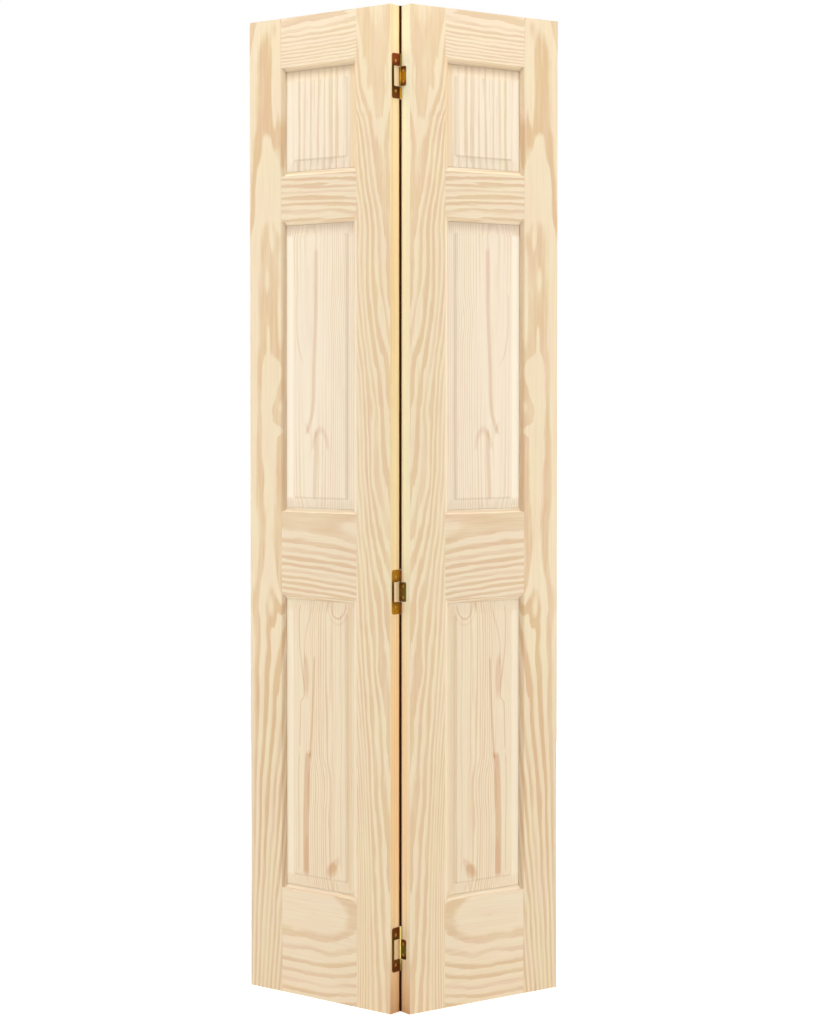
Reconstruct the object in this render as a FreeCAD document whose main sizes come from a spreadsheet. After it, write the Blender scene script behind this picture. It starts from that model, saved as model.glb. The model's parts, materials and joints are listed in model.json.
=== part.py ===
import FreeCAD, Part
import math
import os
import re

import Sketcher

# A two-leaf bifold closet door in raised-panel pine, standing half folded.
#
# Frame: millimetres, +Z up, the door stands on Z = 0 and the origin is at the middle of
# its footprint. The fold points towards -Y, and the knuckles are on the +Y side of it.
#
# Each leaf is two stiles and four rails round three floating panels. The stiles and rails
# are moulded and grooved along their inner edges (the sticking), the rail ends are coped
# over the stile's moulding, and dowels hold them. Three surface hinges join the leaves:
# the left leaf carries a frame-shaped plate with a window, and the right leaf carries a
# tab that nests in that window when the door is closed flat.

SIZES = {
    # One leaf.
    "leaf_width": 374.0,
    "leaf_height": 2006.6,
    "leaf_thickness": 28.575,
    "edge_round": 0.8,
    # Faces of the members, from edge to sight line or between sight lines.
    "stile_face": 87.0,
    "top_rail_face": 101.0,
    "frieze_rail_face": 92.0,
    "lock_rail_face": 171.0,
    "bottom_rail_face": 217.0,
    "top_opening": 222.0,
    "middle_opening": 596.0,
    # Moulding and groove along the inner edges.
    "sticking_width": 8.5,
    "sticking_depth": 5.0,
    "quirk_depth": 0.8,
    "ovolo_radius": 9.5,
    "groove_width": 7.4,
    "groove_depth": 10.0,
    # Coped and tenoned rail ends.
    "cope_clearance": 0.1,
    "tenon_side_clearance": 0.1,
    "tenon_end_clearance": 0.5,
    # Dowels across the joints.
    "dowel_radius": 4.7,
    "dowel_length": 88.9,
    "dowel_chamfer": 1.0,
    "dowel_margin": 26.0,
    "dowel_spacing": 85.0,
    "dowel_side_clearance": 0.08,
    "dowel_end_clearance": 1.0,
    # Raised panels.
    "panel_gap": 0.5,
    "tongue_entry": 7.5,
    "tongue_side_clearance": 0.2,
    "hip_drop": 0.4,
    "bevel_width": 22.0,
    "bevel_rise": 2.4,
    "field_step": 1.0,
    # Bores for the pivots and the guide, in the ends of the outer stiles.
    "pivot_bore_radius": 4.8,
    "pivot_bore_depth": 38.0,
    "pivot_setback": 22.0,
    # Hinges.
    "hinge_height": 88.9,
    "plate_thickness": 1.45,
    "plate_clearance": 0.25,
    "pin_setback": 2.5,
    "pin_radius": 1.12,
    "pin_clearance": 0.04,
    "pin_chamfer": 0.4,
    "frame_reach": 26.0,
    "frame_corner": 5.0,
    "bar_width": 5.2,
    "window_height": 40.4,
    "window_corner": 2.0,
    "tab_corner": 3.0,
    "tab_side_clearance": 0.8,
    "tab_end_clearance": 2.0,
    "top_hinge_drop": 140.0,
    "middle_hinge_height": 843.0,
    "bottom_hinge_height": 127.0,
    # Hinge screws.
    "frame_screw_reach": 15.5,
    "frame_screw_spread": 60.0,
    "tab_screw_reach": 10.5,
    "tab_screw_spread": 22.0,
    "screw_head_radius": 3.1,
    "screw_shank_radius": 1.7,
    "screw_length": 19.0,
    "screw_tip": 4.0,
    "recess_depth": 0.9,
    "recess_span": 3.6,
    "recess_slot": 0.9,
    "countersink_clearance": 0.1,
    "pilot_side_clearance": 0.05,
    "pilot_end_clearance": 1.0,
    # How far each leaf is turned from the closed, flat door, in degrees.
    "fold_angle": 36.65,
}

WORKED = {
    "half_thickness": "leaf_thickness / 2",
    "stile_width": "stile_face + sticking_width",
    "rail_face_length": "leaf_width - 2 * stile_face",
    "lip_face": "half_thickness - sticking_depth",
    "quirk_face": "half_thickness - quirk_depth",
    "groove_half": "groove_width / 2",
    "cope_half": "rail_face_length / 2 - sticking_width - cope_clearance",
    "tenon_half": "rail_face_length / 2 - sticking_width + groove_depth - tenon_end_clearance",
    "dowel_hole_radius": "dowel_radius + dowel_side_clearance",
    "dowel_reach": "dowel_length / 2 + dowel_end_clearance",
    "bottom_opening": "leaf_height - top_rail_face - top_opening - frieze_rail_face"
                      " - middle_opening - lock_rail_face - bottom_rail_face",
    "lock_rail_foot": "bottom_rail_face + bottom_opening",
    "frieze_rail_foot": "lock_rail_foot + lock_rail_face + middle_opening",
    "top_rail_foot": "leaf_height - top_rail_face",
    "tongue_inset": "sticking_width - tongue_entry",
    "shoulder_inset": "sticking_width + panel_gap",
    "field_inset": "shoulder_inset + bevel_width",
    "tongue_thickness": "groove_width - 2 * tongue_side_clearance",
    "shoulder_half": "lip_face - hip_drop",
    "bevel_half": "shoulder_half + bevel_rise",
    "field_half": "bevel_half + field_step",
    "edge_gap": "plate_thickness + plate_clearance",
    "knuckle_bore": "pin_radius + pin_clearance",
    "knuckle_radius": "knuckle_bore + plate_thickness",
    "plate_root": "knuckle_bore + plate_thickness / 2",
    "window_reach": "frame_reach - bar_width",
    "tab_reach": "window_reach - tab_end_clearance",
    "tab_height": "window_height - 2 * tab_side_clearance",
    "pin_to_middle": "pin_setback + half_thickness",
    "pilot_radius": "screw_shank_radius + pilot_side_clearance",
    "pilot_depth": "screw_length - plate_thickness + pilot_end_clearance",
    "top_hinge_height": "leaf_height - top_hinge_drop",
    # The nearest and farthest points of a folded leaf, seen from the hinge pin.
    "leaf_front": "edge_round + (pin_setback + leaf_thickness - edge_round) * cos(fold_angle)"
                  " - (edge_gap / 2 + edge_round) * sin(fold_angle)",
    "leaf_back": "edge_round + (edge_gap / 2 + leaf_width - edge_round) * sin(fold_angle)"
                 " - (pin_setback + edge_round) * cos(fold_angle)",
    "pin_line": "(leaf_front - leaf_back) / 2",
}

# Rails from the floor up: foot above the floor, face, moulded lower edge, and moulded
# upper edge.
RAILS = {
    "bottom_rail": ("0", "bottom_rail_face", False, True),
    "lock_rail": ("lock_rail_foot", "lock_rail_face", True, True),
    "frieze_rail": ("frieze_rail_foot", "frieze_rail_face", True, True),
    "top_rail": ("top_rail_foot", "top_rail_face", True, False),
}

# Panels: the foot and the height of the opening that each one fills.
PANELS = {
    "bottom_panel": ("bottom_rail_face", "bottom_opening"),
    "middle_panel": ("lock_rail_foot + lock_rail_face", "middle_opening"),
    "top_panel": ("frieze_rail_foot + frieze_rail_face", "top_opening"),
}

# Hinges: the height of each one's middle.
HINGES = {
    "top_hinge": "top_hinge_height",
    "middle_hinge": "middle_hinge_height",
    "bottom_hinge": "bottom_hinge_height",
}

# Each leaf's side of the fold, along X.
LEAVES = {"left": -1, "right": 1}

# Each leaf's hinge plate: how far its screws are from the pin and from each other.
PLATE_SCREWS = {
    "left": ("frame_screw_reach", "frame_screw_spread"),
    "right": ("tab_screw_reach", "tab_screw_spread"),
}

# The turn that lays an upright fastener down along X, in degrees.
LAID_DOWN = 90

doc = FreeCAD.newDocument("BifoldDoor")
nodes = []


# ---------------------------------------------------------------- sizes and expressions

def tied(text):
    """The expression with each size's name pointing at the sheet that holds it."""
    def prefix(word):
        name = word.group()
        if name in SIZES:
            return "Sizes." + name
        if name in WORKED:
            return "Worked." + name
        return name
    return re.sub(r"[a-z_]+", prefix, str(text))


def fill_sheet(name, cells, as_text):
    """A spreadsheet with a name in column A and its aliased value in column B."""
    sheet = doc.addObject("Spreadsheet::Sheet", name)
    for row, (alias, value) in enumerate(cells.items(), start=1):
        sheet.set(f"A{row}", alias)
        sheet.setAlias(f"B{row}", alias)
        sheet.set(f"B{row}", as_text(value))
    doc.recompute()
    return sheet


sizes = fill_sheet("Sizes", SIZES, str)
worked = fill_sheet("Worked", WORKED, lambda formula: "=" + tied(formula))


def number(text):
    """The present value of an expression."""
    return float(worked.evalExpression(tied(text)))


def bind(item, prop, text):
    """Tie a property to an expression of the sizes."""
    item.setExpression(prop, tied(text))


# ------------------------------------------------------------------- sketches and features

def new_body(label):
    """An empty body; its label names the node and its file."""
    body = doc.addObject("PartDesign::Body", label)
    body.Label = label
    return body


def new_sketch(body, name, plane, lift):
    """A sketch on one of the body's own origin planes, lifted along the plane's normal."""
    sketch = body.newObject("Sketcher::SketchObject", f"{body.Name}_{name}")
    planes = {item.Role: item for item in body.Origin.OriginFeatures}
    sketch.AttachmentSupport = (planes[plane], [""])
    sketch.MapMode = "FlatFace"
    bind(sketch, "AttachmentOffset.Base.z", lift)
    return sketch


def pin_point(sketch, curve, point, across, up):
    """Hold one point of a curve at a place given by two expressions."""
    for kind, text in (("DistanceX", across), ("DistanceY", up)):
        rule = Sketcher.Constraint(kind, -1, 1, curve, point, number(text))
        bind(sketch, f"Constraints[{sketch.addConstraint(rule)}]", text)


def set_radius(sketch, curve, text):
    """Hold the radius of a circle or an arc."""
    rule = Sketcher.Constraint("Radius", curve, number(text))
    bind(sketch, f"Constraints[{sketch.addConstraint(rule)}]", text)


def arc_between(start, end, radius, turn):
    """The shorter arc from start to end: turn is 1 anticlockwise and -1 clockwise."""
    chord = end - start
    middle = (start + end) / 2
    rise = math.sqrt(radius ** 2 - (chord.Length / 2) ** 2)
    centre = middle + FreeCAD.Vector(-chord.y, chord.x, 0).normalize() * rise * turn
    first, last = (start, end) if turn > 0 else (end, start)
    angles = [math.atan2(spot.y - centre.y, spot.x - centre.x) for spot in (first, last)]
    circle = Part.Circle(centre, FreeCAD.Vector(0, 0, 1), radius)
    return Part.ArcOfCircle(circle, angles[0], angles[1])


def draw_loop(sketch, corners):
    """A closed outline through the corners, each (across, up) in expressions.

    A corner that goes on (across, up, radius, turn) starts an arc to the next corner.
    """
    spots = [FreeCAD.Vector(number(corner[0]), number(corner[1]), 0) for corner in corners]
    sides = []
    for index, corner in enumerate(corners):
        start, end = spots[index], spots[(index + 1) % len(spots)]
        if len(corner) == 2:
            curve = sketch.addGeometry(Part.LineSegment(start, end), False)
            sides.append((curve, 1, 2))
            continue
        radius, turn = corner[2], corner[3]
        curve = sketch.addGeometry(arc_between(start, end, number(radius), turn), False)
        set_radius(sketch, curve, radius)
        sides.append((curve, 1, 2) if turn > 0 else (curve, 2, 1))
    for index, corner in enumerate(corners):
        curve, start, end = sides[index]
        following = sides[(index + 1) % len(sides)]
        sketch.addConstraint(Sketcher.Constraint("Coincident", curve, end, following[0], following[1]))
        pin_point(sketch, curve, start, corner[0], corner[1])


def draw_box(sketch, left, right, low, high):
    """A closed rectangle between four expressions."""
    draw_loop(sketch, [(left, low), (right, low), (right, high), (left, high)])


def draw_circle(sketch, across, up, radius):
    """A circle whose centre and radius are expressions."""
    centre = FreeCAD.Vector(number(across), number(up), 0)
    circle = Part.Circle(centre, FreeCAD.Vector(0, 0, 1), number(radius))
    curve = sketch.addGeometry(circle, False)
    set_radius(sketch, curve, radius)
    pin_point(sketch, curve, 3, across, up)


def extrude(body, kind, sketch, length, side="One side", backwards=False):
    """A Pad or a Pocket of the sketch."""
    feature = body.newObject(f"PartDesign::{kind}", f"{sketch.Name}_{kind}")
    feature.Profile = sketch
    feature.SideType = side
    feature.Reversed = backwards
    bind(feature, "Length", length)
    body.Tip = feature
    return feature


def turn_round(body, sketch):
    """A solid of revolution of the sketch about its own upright axis."""
    feature = body.newObject("PartDesign::Revolution", f"{sketch.Name}_Revolution")
    feature.Profile = sketch
    feature.ReferenceAxis = (sketch, ["V_Axis"])
    feature.Angle = 360
    body.Tip = feature
    return feature


def mirrored(text):
    """The expression with its sign turned over."""
    return f"-({text})"


# ------------------------------------------------------------------------------ placing

def place_on_leaf(piece, leaf, along, up, turned=False):
    """Stand a piece on a folded leaf.

    The piece's own X runs along the leaf, away from the fold, and its own Y = 0 lies at
    the middle of the thickness. A turned piece has its X back towards the fold.
    """
    side = LEAVES[leaf]
    angle = "fold_angle" if side > 0 else "180 - fold_angle"
    reach = f"(edge_gap / 2 + {along})"
    bind(piece, "Placement.Rotation.Angle", f"{angle} - 180" if turned else angle)
    bind(piece, "Placement.Base.x",
         f"{side} * ({reach} * cos(fold_angle) + pin_to_middle * sin(fold_angle))")
    bind(piece, "Placement.Base.y",
         f"{reach} * sin(fold_angle) - pin_to_middle * cos(fold_angle) + pin_line")
    bind(piece, "Placement.Base.z", up)


def place_on_pin(piece, leaf, up):
    """Turn a hinge part with its leaf about the pin, at its height."""
    bind(piece, "Placement.Rotation.Angle", f"{LEAVES[leaf]} * fold_angle")
    bind(piece, "Placement.Base.y", "pin_line")
    bind(piece, "Placement.Base.z", up)


def keep(piece):
    """Count a finished piece among the nodes to be written."""
    nodes.append(piece)
    return piece


# ------------------------------------------------------------------------------- joinery

def dowel_heights(rail):
    """The heights of a rail's dowels above its foot, spread evenly between the margins.

    As few dowels are used as keep their distance within the dowel spacing.
    """
    span = f"({RAILS[rail][1]} - 2 * dowel_margin)"
    steps = math.ceil(number(f"{span} / dowel_spacing"))
    return [f"dowel_margin + {index} * {span} / {steps}" for index in range(steps + 1)]


def make_stile(leaf, role):
    """A stile: rounded outer edge, and moulding and groove along its inner edge.

    Its own X runs from the outer edge (0) to the moulded edge.
    """
    stile = new_body(f"{leaf}_{role}")
    section = new_sketch(stile, "section", "XY_Plane", "0")
    front = [
        ("edge_round", "-half_thickness"),
        ("stile_face", "-half_thickness"),
        ("stile_face", "-quirk_face", "ovolo_radius", 1),
        ("stile_width", "-lip_face"),
        ("stile_width", "-groove_half"),
        ("stile_width - groove_depth", "-groove_half"),
    ]
    back = [
        ("stile_width - groove_depth", "groove_half"),
        ("stile_width", "groove_half"),
        ("stile_width", "lip_face", "ovolo_radius", 1),
        ("stile_face", "quirk_face"),
        ("stile_face", "half_thickness"),
        ("edge_round", "half_thickness", "edge_round", 1),
        ("0", "half_thickness - edge_round"),
        ("0", "edge_round - half_thickness", "edge_round", 1),
    ]
    draw_loop(section, front + back)
    extrude(stile, "Pad", section, "leaf_height")

    sockets = new_sketch(stile, "dowel_sockets", "YZ_Plane", "stile_width - dowel_reach")
    for rail, (foot, *_) in RAILS.items():
        for height in dowel_heights(rail):
            draw_circle(sockets, "0", f"{foot} + {height}", "dowel_hole_radius")
    extrude(stile, "Pocket", sockets, "dowel_reach", backwards=True)
    return keep(stile)


def bore_pivot_holes(stile):
    """A blind bore in each end of an outer stile, near the leaf's outer edge."""
    for name, lift, downwards in (("bottom_bore", "0", False), ("top_bore", "leaf_height", True)):
        mouth = new_sketch(stile, name, "XY_Plane", lift)
        draw_circle(mouth, "pivot_setback", "0", "pivot_bore_radius")
        extrude(stile, "Pocket", mouth, "pivot_bore_depth", backwards=not downwards)


def bore_screw_holes(stile, leaf):
    """Pilot holes in the meeting edge for the screws of every hinge."""
    reach, spread = PLATE_SCREWS[leaf]
    holes = new_sketch(stile, "pilot_holes", "YZ_Plane", "0")
    for middle in HINGES.values():
        for end in (-1, 1):
            draw_circle(holes, f"{LEAVES[leaf]} * (pin_to_middle - {reach})",
                        f"{middle} + {end} * {spread} / 2", "pilot_radius")
    extrude(stile, "Pocket", holes, "pilot_depth", backwards=True)


def coped_end(side):
    """One rail end in plan: coped over the stile's moulding, with a stub tenon.

    The corners run from the front face to the back face; side is -1 or 1 along X.
    """
    turn = -side
    face_end = f"{side} * rail_face_length / 2"
    cope = f"{side} * cope_half"
    tenon = f"{side} * tenon_half"
    tenon_half_thickness = "groove_half - tenon_side_clearance"
    cope_radius = "ovolo_radius + cope_clearance"
    return [
        (face_end, "-half_thickness"),
        (face_end, "-(quirk_face + cope_clearance)", cope_radius, turn),
        (cope, "-lip_face"),
        (cope, mirrored(tenon_half_thickness)),
        (tenon, mirrored(tenon_half_thickness)),
        (tenon, tenon_half_thickness),
        (cope, tenon_half_thickness),
        (cope, "lip_face", cope_radius, turn),
        (face_end, "quirk_face + cope_clearance"),
        (face_end, "half_thickness"),
    ]


def backwards_loop(corners):
    """The same corners walked the other way, with each arc kept between its two ends."""
    walked = []
    for index in range(len(corners) - 1, -1, -1):
        arc = corners[index - 1][2:] if index > 0 else ()
        if arc:
            arc = (arc[0], -arc[1])
        walked.append(corners[index][:2] + arc)
    return walked


def mould_rail_edge(rail, name, edge, inwards):
    """Cut the moulding and the groove along one edge of a rail.

    edge is the height of the lip, and inwards is 1 where the rail lies above it.
    """
    profile = new_sketch(rail, name, "YZ_Plane", "0")
    sight = f"{edge} + {inwards} * sticking_width"
    for face in (-1, 1):
        turn = -face * inwards
        draw_loop(profile, [
            (f"{face} * half_thickness", edge),
            (f"{face} * lip_face", edge, "ovolo_radius", turn),
            (f"{face} * quirk_face", sight),
            (f"{face} * half_thickness", sight),
        ])
    draw_box(profile, "-groove_half", "groove_half", edge, f"{edge} + {inwards} * groove_depth")
    extrude(rail, "Pocket", profile, "leaf_width", side="Symmetric")


def make_rail(leaf, role):
    """A rail; its own X = 0 is its middle and its own Z = 0 is its foot at the face."""
    foot, face, moulded_below, moulded_above = RAILS[role]
    rail = new_body(f"{leaf}_{role}")
    low = "-sticking_width" if moulded_below else "0"
    high = f"{face} + sticking_width" if moulded_above else face
    plan = new_sketch(rail, "plan", "XY_Plane", low)
    draw_loop(plan, coped_end(1) + backwards_loop(coped_end(-1)))
    extrude(rail, "Pad", plan, f"{high} - ({low})")
    if moulded_below:
        mould_rail_edge(rail, "lower_moulding", low, 1)
    if moulded_above:
        mould_rail_edge(rail, "upper_moulding", high, -1)
    for side in (-1, 1):
        name = "outer_sockets" if side > 0 else "inner_sockets"
        bottom = f"{side} * (rail_face_length / 2 - sticking_width - dowel_reach)"
        sockets = new_sketch(rail, name, "YZ_Plane", bottom)
        for height in dowel_heights(role):
            draw_circle(sockets, "0", height, "dowel_hole_radius")
        extrude(rail, "Pocket", sockets, "2 * dowel_reach", backwards=side > 0)
    place_on_leaf(rail, leaf, "leaf_width / 2", foot)
    return keep(rail)


def pad_panel_layer(panel, name, height, inset, half):
    """A rectangular layer of a panel, inset from the opening's sight lines all round."""
    layer = new_sketch(panel, name, "XZ_Plane", "0")
    side = f"rail_face_length / 2 - {inset}"
    draw_box(layer, mirrored(side), side, inset, f"{height} - {inset}")
    extrude(panel, "Pad", layer, f"2 * ({half})", side="Symmetric")


def add_bevel(panel, name, height, face):
    """The sloping border between a panel's shoulder and its raised field, on one face."""
    wedge = panel.newObject("PartDesign::AdditiveWedge", f"{panel.Name}_{name}")
    shoulder_side = "rail_face_length / 2 - shoulder_inset"
    field_side = "rail_face_length / 2 - field_inset"
    shoulder = (shoulder_side, "shoulder_inset", f"{height} - shoulder_inset")
    field = (field_side, "field_inset", f"{height} - field_inset")
    near, far = (field, shoulder) if face < 0 else (shoulder, field)
    depths = ("-bevel_half", "-shoulder_half") if face < 0 else ("shoulder_half", "bevel_half")
    limits = {
        "Xmin": mirrored(near[0]), "Xmax": near[0], "Zmin": near[1], "Zmax": near[2],
        "X2min": mirrored(far[0]), "X2max": far[0], "Z2min": far[1], "Z2max": far[2],
        "Ymin": depths[0], "Ymax": depths[1],
    }
    # The limits are set in this order so that no pair is ever upside down.
    for prop in ("Xmax", "X2max", "Zmax", "Z2max", "Xmin", "X2min", "Zmin", "Z2min"):
        setattr(wedge, prop, number(limits[prop]))
    ordered = ("Ymax", "Ymin") if face > 0 else ("Ymin", "Ymax")
    for prop in ordered:
        setattr(wedge, prop, number(limits[prop]))
    for prop, text in limits.items():
        bind(wedge, prop, text)
    panel.Tip = wedge


def make_panel(leaf, role):
    """A raised panel, the same on both faces, whose tongue floats in the grooves.

    Its own X = 0 is its middle and its own Z = 0 is the foot of its opening.
    """
    foot, height = PANELS[role]
    panel = new_body(f"{leaf}_{role}")
    pad_panel_layer(panel, "tongue", height, "tongue_inset", "tongue_thickness / 2")
    pad_panel_layer(panel, "shoulder", height, "shoulder_inset", "shoulder_half")
    add_bevel(panel, "front_bevel", height, -1)
    add_bevel(panel, "back_bevel", height, 1)
    pad_panel_layer(panel, "field", height, "field_inset", "field_half")
    place_on_leaf(panel, leaf, "leaf_width / 2", foot)
    return keep(panel)


# -------------------------------------------------------------- fasteners shared as links

def make_dowel():
    """A chamfered dowel, upright about its own middle."""
    dowel = new_body("dowel_pattern")
    half = new_sketch(dowel, "half", "XZ_Plane", "0")
    draw_loop(half, [
        ("0", "-dowel_length / 2"),
        ("dowel_radius - dowel_chamfer", "-dowel_length / 2"),
        ("dowel_radius", "dowel_chamfer - dowel_length / 2"),
        ("dowel_radius", "dowel_length / 2 - dowel_chamfer"),
        ("dowel_radius - dowel_chamfer", "dowel_length / 2"),
        ("0", "dowel_length / 2"),
    ])
    turn_round(dowel, half)
    return dowel


def make_screw():
    """A countersunk wood screw with a cross recess: its head is at Z = 0, its tip below."""
    screw = new_body("screw_pattern")
    half = new_sketch(screw, "half", "XZ_Plane", "0")
    draw_loop(half, [
        ("0", "-screw_length"),
        ("screw_shank_radius", "screw_tip - screw_length"),
        ("screw_shank_radius", "-plate_thickness"),
        ("screw_head_radius", "0"),
        ("0", "0"),
    ])
    turn_round(screw, half)
    recess = new_sketch(screw, "recess", "XY_Plane", "0")
    span, slot = "recess_span / 2", "recess_slot / 2"
    quarter = [(span, slot), (slot, slot), (slot, span)]
    cross = []
    for corner in quarter:
        cross.append(corner)
    for across, up in reversed(quarter):
        cross.append((mirrored(across), up))
    for across, up in quarter:
        cross.append((mirrored(across), mirrored(up)))
    for across, up in reversed(quarter):
        cross.append((across, mirrored(up)))
    draw_loop(recess, cross)
    extrude(screw, "Pocket", recess, "recess_depth")
    return screw


def link_group(label, pattern, spots, lean):
    """Copies of a fastener as one node: each spot is (x, y, z) in expressions.

    lean is the turn about Y that lays the fastener's own Z along the group's X.
    """
    links = []
    for index, spot in enumerate(spots, start=1):
        link = doc.addObject("App::Link", f"{label}_{index}")
        link.LinkedObject = pattern
        link.Placement.Rotation = FreeCAD.Rotation(FreeCAD.Vector(0, 1, 0), lean)
        for axis, text in zip("xyz", spot):
            bind(link, f"Placement.Base.{axis}", text)
        links.append(link)
    group = doc.addObject("Part::Compound", label)
    group.Label = label
    group.Links = links
    return keep(group)


def make_dowels(leaf, pattern):
    """All the dowels of one leaf, centred on the inner edges of its two stiles."""
    spots = []
    for rail, (foot, *_) in RAILS.items():
        for edge in ("stile_width", "leaf_width - stile_width"):
            for height in dowel_heights(rail):
                spots.append((edge, "0", f"{foot} + {height}"))
    group = link_group(f"{leaf}_leaf_dowels", pattern, spots, LAID_DOWN)
    place_on_leaf(group, leaf, "0", "0")


def make_screws(hinge, leaf, part, pattern):
    """The two screws of one hinge plate, their heads flush with its outer face."""
    reach, spread = PLATE_SCREWS[leaf]
    side = LEAVES[leaf]
    face = f"{side} * (edge_gap / 2 - plate_thickness)"
    spots = [(face, mirrored(reach), f"{end} * {spread} / 2") for end in (-1, 1)]
    group = link_group(f"{hinge}_{part}_screws", pattern, spots, -side * LAID_DOWN)
    place_on_pin(group, leaf, HINGES[hinge])


# --------------------------------------------------------------------------------- hinges

def make_plate(body, side, reach, height, corner):
    """A hinge plate with two rounded corners, joined to a full-height knuckle."""
    lift = "-edge_gap / 2" if side < 0 else "edge_gap / 2 - plate_thickness"
    plate = new_sketch(body, "plate", "YZ_Plane", lift)
    low, high = f"-{height} / 2", f"{height} / 2"
    draw_loop(plate, [
        (f"{corner} - {reach}", low),
        ("-plate_root", low),
        ("-plate_root", high),
        (f"{corner} - {reach}", high, corner, 1),
        (mirrored(reach), f"{high} - {corner}"),
        (mirrored(reach), f"{low} + {corner}", corner, 1),
    ])
    extrude(body, "Pad", plate, "plate_thickness")
    barrel = new_sketch(body, "knuckle", "XY_Plane", low)
    draw_circle(barrel, "0", "0", "knuckle_radius")
    extrude(body, "Pad", barrel, height)


def bore_knuckle(body, height):
    """The pin's hole, right through the knuckles."""
    bore = new_sketch(body, "pin_bore", "XY_Plane", "0")
    draw_circle(bore, "0", "0", "knuckle_bore")
    extrude(body, "Pocket", bore, f"2 * {height}", side="Symmetric")


def countersink(body, leaf):
    """Two countersunk screw holes through a hinge plate."""
    side = LEAVES[leaf]
    reach, spread = PLATE_SCREWS[leaf]
    wood_face = f"{side} * edge_gap / 2"
    planes = {item.Role: item for item in body.Origin.OriginFeatures}
    for end, name in ((-1, "lower_countersink"), (1, "upper_countersink")):
        cone = body.newObject("PartDesign::SubtractiveCone", f"{body.Name}_{name}")
        cone.AttachmentSupport = (planes["YZ_Plane"], [""])
        cone.MapMode = "FlatFace"
        narrow = "screw_shank_radius + countersink_clearance"
        wide = "screw_head_radius + countersink_clearance"
        start = wood_face if side < 0 else f"{wood_face} - plate_thickness"
        bind(cone, "Radius1", narrow if side < 0 else wide)
        bind(cone, "Radius2", wide if side < 0 else narrow)
        bind(cone, "Height", "plate_thickness")
        bind(cone, "AttachmentOffset.Base.x", mirrored(reach))
        bind(cone, "AttachmentOffset.Base.y", f"{end} * {spread} / 2")
        bind(cone, "AttachmentOffset.Base.z", start)
        body.Tip = cone


def make_frame_leaf(hinge):
    """The left leaf's hinge half: a plate with a window, and a knuckle at each end."""
    body = new_body(f"{hinge}_frame_leaf")
    make_plate(body, -1, "frame_reach", "hinge_height", "frame_corner")
    window = new_sketch(body, "window", "YZ_Plane", "0")
    low, high = "-window_height / 2", "window_height / 2"
    draw_loop(window, [
        ("window_corner - window_reach", low),
        ("2 * knuckle_radius", low),
        ("2 * knuckle_radius", high),
        ("window_corner - window_reach", high, "window_corner", 1),
        ("-window_reach", f"{high} - window_corner"),
        ("-window_reach", f"{low} + window_corner", "window_corner", 1),
    ])
    extrude(body, "Pocket", window, "4 * knuckle_radius", side="Symmetric")
    bore_knuckle(body, "hinge_height")
    countersink(body, "left")
    place_on_pin(body, "left", HINGES[hinge])
    keep(body)


def make_tab_leaf(hinge):
    """The right leaf's hinge half: a tab that fits the window, with the middle knuckle."""
    body = new_body(f"{hinge}_tab_leaf")
    make_plate(body, 1, "tab_reach", "tab_height", "tab_corner")
    bore_knuckle(body, "tab_height")
    countersink(body, "right")
    place_on_pin(body, "right", HINGES[hinge])
    keep(body)


def make_hinge_pin(hinge):
    """The pin through a hinge's three knuckles, flush with their ends."""
    body = new_body(f"{hinge}_pin")
    half = new_sketch(body, "half", "XZ_Plane", "0")
    draw_loop(half, [
        ("0", "-hinge_height / 2"),
        ("pin_radius - pin_chamfer", "-hinge_height / 2"),
        ("pin_radius", "pin_chamfer - hinge_height / 2"),
        ("pin_radius", "hinge_height / 2 - pin_chamfer"),
        ("pin_radius - pin_chamfer", "hinge_height / 2"),
        ("0", "hinge_height / 2"),
    ])
    turn_round(body, half)
    place_on_pin(body, "left", HINGES[hinge])
    keep(body)


# --------------------------------------------------------------------------- the assembly

def make_leaf(leaf, dowel):
    """One leaf of the door: stiles, rails, panels and dowels."""
    outer = make_stile(leaf, "outer_stile")
    bore_pivot_holes(outer)
    place_on_leaf(outer, leaf, "leaf_width", "0", turned=True)
    inner = make_stile(leaf, "hinge_stile")
    bore_screw_holes(inner, leaf)
    place_on_leaf(inner, leaf, "0", "0")
    for role in RAILS:
        make_rail(leaf, role)
    for role in PANELS:
        make_panel(leaf, role)
    make_dowels(leaf, dowel)


def make_hinge(hinge, screw):
    """One hinge: two plates, the pin and the screws."""
    make_frame_leaf(hinge)
    make_tab_leaf(hinge)
    make_hinge_pin(hinge)
    make_screws(hinge, "left", "frame", screw)
    make_screws(hinge, "right", "tab", screw)


def check_document():
    """Stop if any object failed, any cut missed its body or any piece isn't a sound solid."""
    for item in doc.Objects:
        if {"Invalid", "Error"} & set(item.State):
            raise RuntimeError(f"{item.Name} failed: {item.State}")
        if item.TypeId in ("PartDesign::Pocket", "PartDesign::SubtractiveCone"):
            if item.Shape.Volume > item.BaseFeature.Shape.Volume - 1e-3:
                raise RuntimeError(f"{item.Name} cuts nothing")
    for piece in nodes:
        if piece.Shape.isNull() or not piece.Shape.isValid() or not piece.Shape.Solids:
            raise RuntimeError(f"{piece.Label} is not a sound solid")


def write_nodes():
    """Write each node to its own file."""
    os.makedirs("parts", exist_ok=True)
    for piece in nodes:
        piece.Shape.exportStep(f"parts/{piece.Label}.step")


dowel_pattern = make_dowel()
screw_pattern = make_screw()
for leaf_name in LEAVES:
    make_leaf(leaf_name, dowel_pattern)
for hinge_name in HINGES:
    make_hinge(hinge_name, screw_pattern)
doc.recompute()
check_document()
write_nodes()
print(f"{len(nodes)} nodes, {sum(len(piece.Shape.Solids) for piece in nodes)} solids")
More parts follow.
